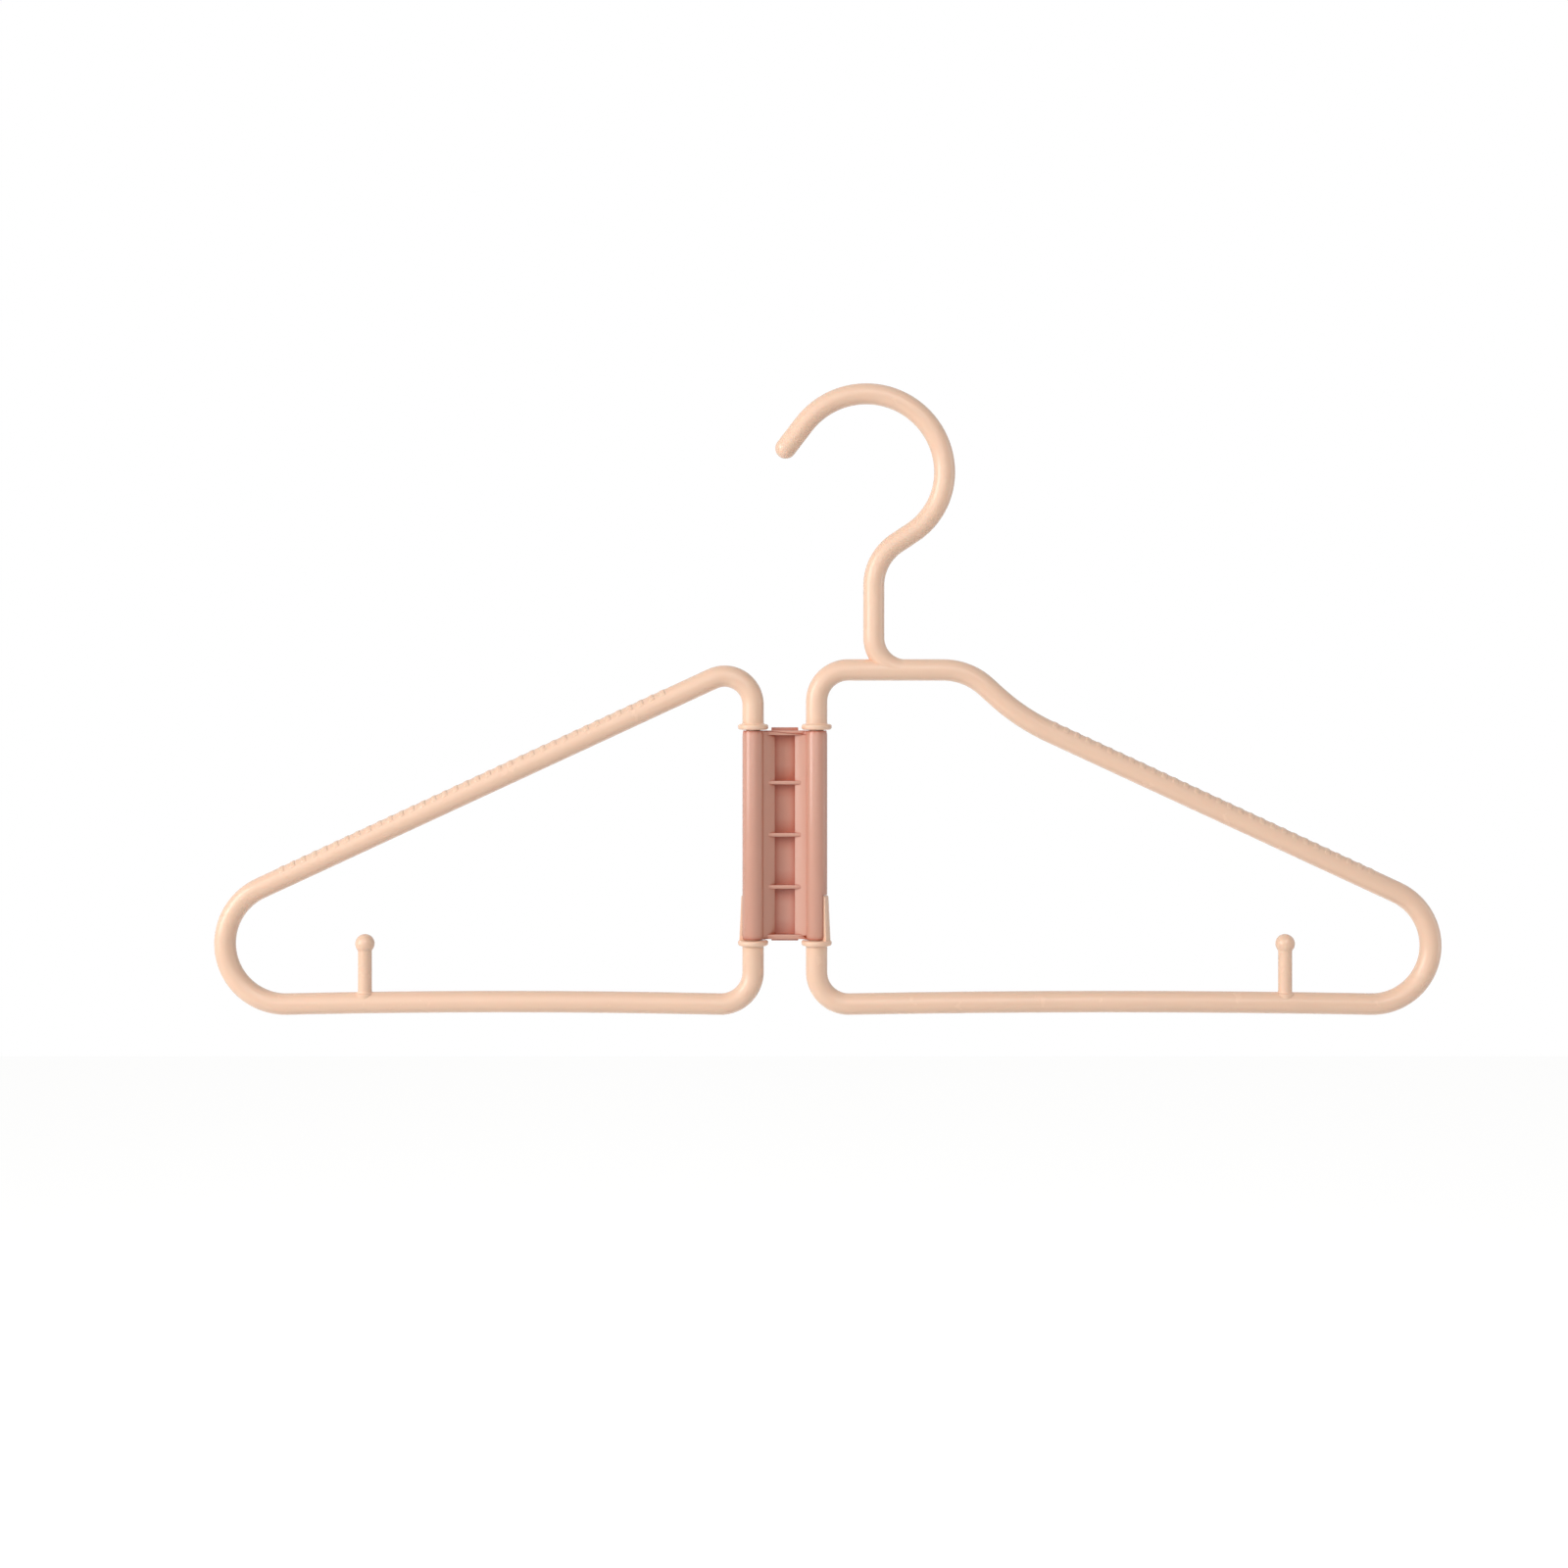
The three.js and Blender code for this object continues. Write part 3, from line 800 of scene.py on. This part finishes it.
class HANGER_OT_grips(Operator):
    """Anti-slip ribs along both shoulders"""
    bl_idname = "hanger.grips"
    bl_label = "Anti-slip ribs"

    def execute(self, context):
        frames = context.scene.hanger_frames
        grips = context.scene.hanger_grips
        tree = grip_tree()
        for side in both_sides(context):
            shoulder = shoulder_line(context, side)
            if side.name == "hook":
                inset, count = grips.hook_inset, grips.hook_count
            else:
                inset, count = grips.wing_inset, grips.wing_count
            along, pitch = shoulder.along, grips.pitch
            first = shoulder.through - along * inset
            piece = new_object(f"{side.name}_anti_slip_ribs", bpy.data.meshes.new("anti_slip_ribs"))
            grown(piece, tree, Count=count,
                  First=(side.bar_x + side.sign * first.x, 0.0, first.y),
                  Step=(-side.sign * along.x * pitch, 0.0, -along.y * pitch),
                  Tilt=side.sign * frames.shoulder_angle, Rod_Radius=frames.rod_diameter / 2,
                  Rib_Width=grips.width, Rib_Height=grips.height, Rib_Root=grips.depth,
                  Rib_Span=grips.span, Material=finish(CREAM))
            ride(smooth(piece, GRIP_CREASE), side.body)
        return {"FINISHED"}


# Hinge connector, drawn from above about the middle between its sleeves

def flank_line(hinge, spacing, sleeve_radius, depth):
    """A flank starts behind the sleeve's tangent, so the sleeve stands out from the web."""
    through_axis = line(spacing / 2, 0, math.pi - hinge.flank_angle)
    return moved_left(through_axis, sleeve_radius - hinge.flank_recess - depth)


def flank_meets(hinge, sleeve_radius, depth):
    """Angle about the sleeve's axis where the flank's line leaves the sleeve."""
    share = (sleeve_radius - hinge.flank_recess - depth) / sleeve_radius
    return 3 * QUARTER_TURN - hinge.flank_angle - math.acos(share)


def mirrored(half):
    return half + [Vector((-p.x, p.y)) for p in reversed(half)]


def connector_outline(hinge, spacing, trim=0.0):
    """The connector's section; trim narrows its outer faces."""
    bore = hinge.spindle_diameter / 2 + hinge.running_gap
    sleeve = bore + hinge.sleeve_wall - trim
    wall = hinge.web_wall - 2 * trim
    touch = flank_meets(hinge, sleeve, 0)
    lip = 2 * math.pi + hinge.front_lip
    back_lip = lug_end(hinge) + hinge.fold + lug_clearance(hinge)
    back_touch = flank_meets(hinge, sleeve, wall)
    channel_x = hinge.channel_width / 2
    back_x = channel_x + hinge.web_wall - trim
    flank = flank_line(hinge, spacing, sleeve, 0)
    flank_back = flank_line(hinge, spacing, sleeve, wall)
    steps = round((lip - touch) / BEND_STEP)
    return mirrored([
        Vector((channel_x, hinge.channel_floor)),
        crossing(flank, line(channel_x, 0, QUARTER_TURN)),
        *arc(spacing / 2, 0, sleeve, touch, lip, (lip - touch) / steps),
        *arc(spacing / 2, 0, bore, lip, back_lip, (lip - back_lip) / steps),
        *arc(spacing / 2, 0, sleeve, back_lip, back_touch, (back_touch - back_lip) / (steps // 2)),
        crossing(flank_back, line(back_x, 0, QUARTER_TURN)),
        Vector((back_x, hinge.channel_floor + hinge.web_wall - trim))])


class HANGER_OT_connector(Operator):
    """Hinge connector: two open sleeves, trough-shaped web and back wall"""
    bl_idname = "hanger.connector"
    bl_label = "Hinge connector"

    def execute(self, context):
        frames = context.scene.hanger_frames
        hinge = context.scene.hanger_hinge
        top, foot = hinge.sleeve_top, hinge.sleeve_top - hinge.sleeve_length
        spacing = frames.hinge_spacing
        full = connector_outline(hinge, spacing)
        narrow = connector_outline(hinge, spacing, hinge.sleeve_chamfer)
        shell = stacked("connector_shell", [
            (narrow, foot), (full, foot + hinge.chamfer_height),
            (full, top - hinge.chamfer_height), (narrow, top)])
        reach = frames.rod_diameter / 2 + hinge.collar_step
        opening = [Vector((0, 0)), *arc(0, 0, reach, hinge.notch, lug_end(hinge))]
        opening = [p + Vector((spacing / 2, 0)) for p in opening]
        notch = stacked("notch", [
            (opening, foot - hinge.running_gap),
            (opening, lug_top_height(context) + hinge.running_gap)])
        cut = shell.modifiers.new("Notch", "BOOLEAN")
        cut.operation = "DIFFERENCE"
        cut.solver = "EXACT"
        cut.object = notch
        evaluated(shell)
        bpy.data.objects.remove(notch)
        back_x = hinge.channel_width / 2 + hinge.web_wall - hinge.inset
        front_y = hinge.channel_floor + hinge.inset
        back_y = hinge.channel_floor + hinge.web_wall - hinge.inset
        wall = mirrored([Vector((back_x, front_y)), Vector((back_x, back_y))])
        back = stacked("connector_back_wall", [
            (wall, foot - hinge.back_overhang), (wall, top + hinge.back_overhang)])
        for piece in (shell, back):
            piece.data.transform(Matrix.Translation((frames.hinge_centre, 0, 0)))
            piece.data.materials.clear()
            piece.data.materials.append(finish(PINK))
            ride(smooth(rounded(piece, hinge.edge_round)), "connector")
        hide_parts("hinge_connector")
        return {"FINISHED"}


def rib_row_tree():
    """Copies of a plate at equal heights."""
    tree, given = new_tree("web_ribs", [
        ("Count", "NodeSocketInt"), ("First Height", "NodeSocketFloat"),
        ("Spacing", "NodeSocketFloat"), ("Material", "NodeSocketMaterial")])
    first = add_node(tree, "ShaderNodeCombineXYZ", Z=given["First Height"])
    step = add_node(tree, "ShaderNodeCombineXYZ", Z=given["Spacing"])
    row = add_node(tree, "GeometryNodeMeshLine", Count=given["Count"],
                   Start_Location=first.outputs[0], Offset=step.outputs[0])
    ribs = add_node(tree, "GeometryNodeInstanceOnPoints", Points=row.outputs[0],
                    Instance=given["Geometry"])
    return end_tree(tree, ribs.outputs[0], given["Material"])


class HANGER_OT_web_ribs(Operator):
    """End ribs and cross ribs in the connector's trough"""
    bl_idname = "hanger.web_ribs"
    bl_label = "Connector ribs"

    def execute(self, context):
        frames = context.scene.hanger_frames
        hinge = context.scene.hanger_hinge
        sleeve = hinge.spindle_diameter / 2 + hinge.running_gap + hinge.sleeve_wall
        root = hinge.web_wall / 2
        root_x = hinge.channel_width / 2 + root
        flank = flank_line(hinge, frames.hinge_spacing, sleeve, root)
        tree = rib_row_tree()
        foot = hinge.sleeve_top - hinge.sleeve_length
        spacing = hinge.sleeve_length / (hinge.cross_ribs + 1)
        end_ribs = 2
        rows = [
            ("connector_cross_ribs", hinge.cross_rib, hinge.cross_rib_recess, hinge.cross_ribs,
             foot + spacing, spacing),
            ("connector_end_ribs", hinge.end_rib, hinge.end_rib_recess, end_ribs,
             foot + hinge.end_rib / 2 + hinge.inset,
             hinge.sleeve_length - hinge.end_rib - 2 * hinge.inset)]
        for name, thickness, recess, count, first, step in rows:
            half = [
                crossing(flank, line(0, recess - sleeve, 0)),
                crossing(flank, line(root_x, 0, QUARTER_TURN)),
                Vector((root_x, hinge.channel_floor + root))]
            plate = [Vector((p.x + frames.hinge_centre, p.y)) for p in mirrored(half)]
            piece = stacked(name, [(plate, -thickness / 2), (plate, thickness / 2)])
            rounded(piece, hinge.edge_round)
            grown(piece, tree, Count=count, First_Height=first, Spacing=step, Material=finish(PINK))
            ride(smooth(piece), "connector")
        return {"FINISHED"}


# Stage

WHITE = (1.0, 1.0, 1.0, 1.0)


def watts(name, description, power):
    return FloatProperty(name=name, description=f"{description}, in watts", default=power)


class StageSettings(PropertyGroup):
    camera_distance: length("Camera distance", "From the camera to the frame's plane", 800)
    camera_height: length("Camera height", "Above the hook's seat", -75)
    floor_drop: length("Floor", "Height of the studio floor", -900)
    floor_size: length("Floor size", "Width of the studio floor", 8000)
    glow: FloatProperty(name="Floor glow", description="Keeps the seen floor white", default=0.79)
    room: FloatProperty(name="Room light", description="Even light from all round", default=0.19)
    key: watts("Key light", "Softbox from the left", 14.5)
    front: watts("Front light", "Large soft lamp in front", 10.6)
    rim: watts("Rim light", "Soft lamp from the right", 4.2)
    back: watts("Back light", "Soft lamp behind", 11.0)
    strip: watts("Strip light", "Narrow lamp from the upper right", 2.2)


def lamp(name, target, power, azimuth, elevation, distance, width, height, roll=0.0):
    """Softbox that faces the target; azimuth runs from the front to the right. Angles are in
    degrees, lengths in millimetres."""
    light = bpy.data.lights.new(name, "AREA")
    light.shape = "RECTANGLE"
    light.energy = power
    light.size = width * MM
    light.size_y = height * MM
    piece = bpy.data.objects.new(name, light)
    turned = (Matrix.Rotation(math.radians(azimuth), 3, "Z")
              @ Matrix.Rotation(math.radians(-elevation), 3, "X"))
    piece.location = target + turned @ Vector((0, -distance * MM, 0))
    facing = (target - piece.location).to_track_quat("-Z", "Y").to_matrix()
    piece.rotation_euler = (facing @ Matrix.Rotation(math.radians(roll), 3, "Z")).to_euler()
    piece.visible_camera = False
    bpy.context.scene.collection.objects.link(piece)
    return piece


def seen_directly(tree):
    """1 for rays from the camera, and for reflections and refractions."""
    path = add_node(tree, "ShaderNodeLightPath").outputs
    either = {"operation": "MAXIMUM"}
    bounced = add_node(tree, "ShaderNodeMath", either,
                       path["Is Glossy Ray"], path["Is Transmission Ray"])
    seen = add_node(tree, "ShaderNodeMath", either, path["Is Camera Ray"], bounced.outputs[0])
    return seen.outputs[0]


def matt_paint(colour, glow):
    """White studio wall paint, rolled on: soft light and no gloss. The glow keeps it white where
    the camera or a reflection sees it, and nowhere else."""
    material = bpy.data.materials.new("matt_white_studio_paint")
    tree = empty_tree(material)
    matt = add_node(tree, "ShaderNodeBsdfDiffuse", Color=linear(colour))
    strength = add_node(tree, "ShaderNodeMath", {"operation": "MULTIPLY"},
                        seen_directly(tree), glow)
    light = add_node(tree, "ShaderNodeEmission", Strength=strength.outputs[0])
    both = add_node(tree, "ShaderNodeAddShader", None, matt.outputs[0], light.outputs[0])
    add_node(tree, "ShaderNodeOutputMaterial", Surface=both.outputs[0])
    return material


def add_floor(context, middle):
    stage = context.scene.hanger_stage
    half = stage.floor_size / 2
    mesh = bpy.data.meshes.new("floor")
    corners = [(-half, -half, 0), (half, -half, 0), (half, half, 0), (-half, half, 0)]
    mesh.from_pydata(corners, [], [(0, 1, 2, 3)])
    mesh.materials.append(matt_paint(context.scene.hanger_colours.floor, stage.glow))
    floor = new_object("floor", mesh)
    floor.location = (middle.x, middle.y, stage.floor_drop)


def light_room(context):
    """White room that is bright where it is seen directly, and gives a dim, even light."""
    world = bpy.data.worlds.new("white_room")
    tree = empty_tree(world)
    strength = add_node(tree, "ShaderNodeMapRange", Value=seen_directly(tree),
                        To_Min=context.scene.hanger_stage.room, To_Max=1.0)
    light = add_node(tree, "ShaderNodeBackground", Color=WHITE, Strength=strength.outputs[0])
    add_node(tree, "ShaderNodeOutputWorld", Surface=light.outputs[0])
    context.scene.world = world
    context.scene.view_settings.view_transform = "Standard"


def add_lamps(context, middle):
    stage = context.scene.hanger_stage
    lamp("key_light", middle, stage.key, azimuth=-62, elevation=14, distance=1600,
         width=800, height=1000)
    lamp("front_light", middle, stage.front, azimuth=-17, elevation=26, distance=1500,
         width=1600, height=1600)
    lamp("rim_light", middle, stage.rim, azimuth=88, elevation=5, distance=1600,
         width=500, height=1200)
    # Lights the hanger's back; its reflection would draw a bright line round every rod
    back_lamp = lamp("back_light", middle, stage.back, azimuth=180, elevation=0, distance=1600,
                     width=900, height=900)
    back_lamp.visible_glossy = False
    lamp("strip_light", middle, stage.strip, azimuth=14, elevation=28, distance=1600,
         width=700, height=130, roll=-25)


def add_camera(context):
    """The camera looks straight at the frames' plane, as in the photograph."""
    stage = context.scene.hanger_stage
    photo_width = PHOTO_WIDTH_PX * PHOTO_SCALE
    centre_x, centre_z = ((PHOTO_WIDTH_PX / 2 - px) * PHOTO_SCALE for px in SEAT_PX)
    view = bpy.data.cameras.new("photo_camera")
    view.sensor_fit = "HORIZONTAL"
    view.lens = view.sensor_width * stage.camera_distance / photo_width
    view.shift_y = (-centre_z - stage.camera_height) / photo_width
    camera = bpy.data.objects.new("photo_camera", view)
    camera.location = (centre_x, -stage.camera_distance, stage.camera_height)
    camera.rotation_euler = (QUARTER_TURN, 0, 0)
    context.scene.collection.objects.link(camera)
    context.scene.camera = camera


class HANGER_OT_stage(Operator):
    """Floor, room light, lamps and the camera of the photograph"""
    bl_idname = "hanger.stage"
    bl_label = "Studio"

    def execute(self, context):
        low, high = (Vector(corner) for corner in CAD_BOX)
        middle = (low + high) / 2
        add_floor(context, middle)
        light_room(context)
        add_lamps(context, middle)
        add_camera(context)
        return {"FINISHED"}


# Sidebar, and the order of the work

OPERATORS = (
    HANGER_OT_frame_rods, HANGER_OT_hook, HANGER_OT_spindles, HANGER_OT_pegs,
    HANGER_OT_grips, HANGER_OT_connector, HANGER_OT_web_ribs, HANGER_OT_stage)

SETTINGS = {
    "hanger_frames": FrameSizes, "hanger_hook": HookSizes, "hanger_hinge": HingeSizes,
    "hanger_pegs": PegSizes, "hanger_grips": GripSizes, "hanger_colours": FinishColours,
    "hanger_stage": StageSettings}


class HANGER_PT_sidebar(Panel):
    bl_label = "Folding travel hanger"
    bl_idname = "HANGER_PT_sidebar"
    bl_space_type = "VIEW_3D"
    bl_region_type = "UI"
    bl_category = "Hanger"

    def draw(self, context):
        for operator in OPERATORS:
            self.layout.operator(operator.bl_idname)
        for name in SETTINGS:
            group = getattr(context.scene, name)
            box = self.layout.box()
            for size in group.__annotations__:
                box.prop(group, size)


CLASSES = (*SETTINGS.values(), *OPERATORS, HANGER_PT_sidebar)


def register():
    for cls in CLASSES:
        bpy.utils.register_class(cls)
    for name, group in SETTINGS.items():
        setattr(bpy.types.Scene, name, PointerProperty(type=group))


def unregister():
    for name in SETTINGS:
        delattr(bpy.types.Scene, name)
    for cls in reversed(CLASSES):
        bpy.utils.unregister_class(cls)


def main():
    register()
    bpy.ops.hanger.stage()
    bpy.ops.hanger.frame_rods()
    bpy.ops.hanger.hook()
    bpy.ops.hanger.spindles()
    bpy.ops.hanger.pegs()
    bpy.ops.hanger.grips()
    bpy.ops.hanger.connector()
    bpy.ops.hanger.web_ribs()


if __name__ == "__main__":
    main()
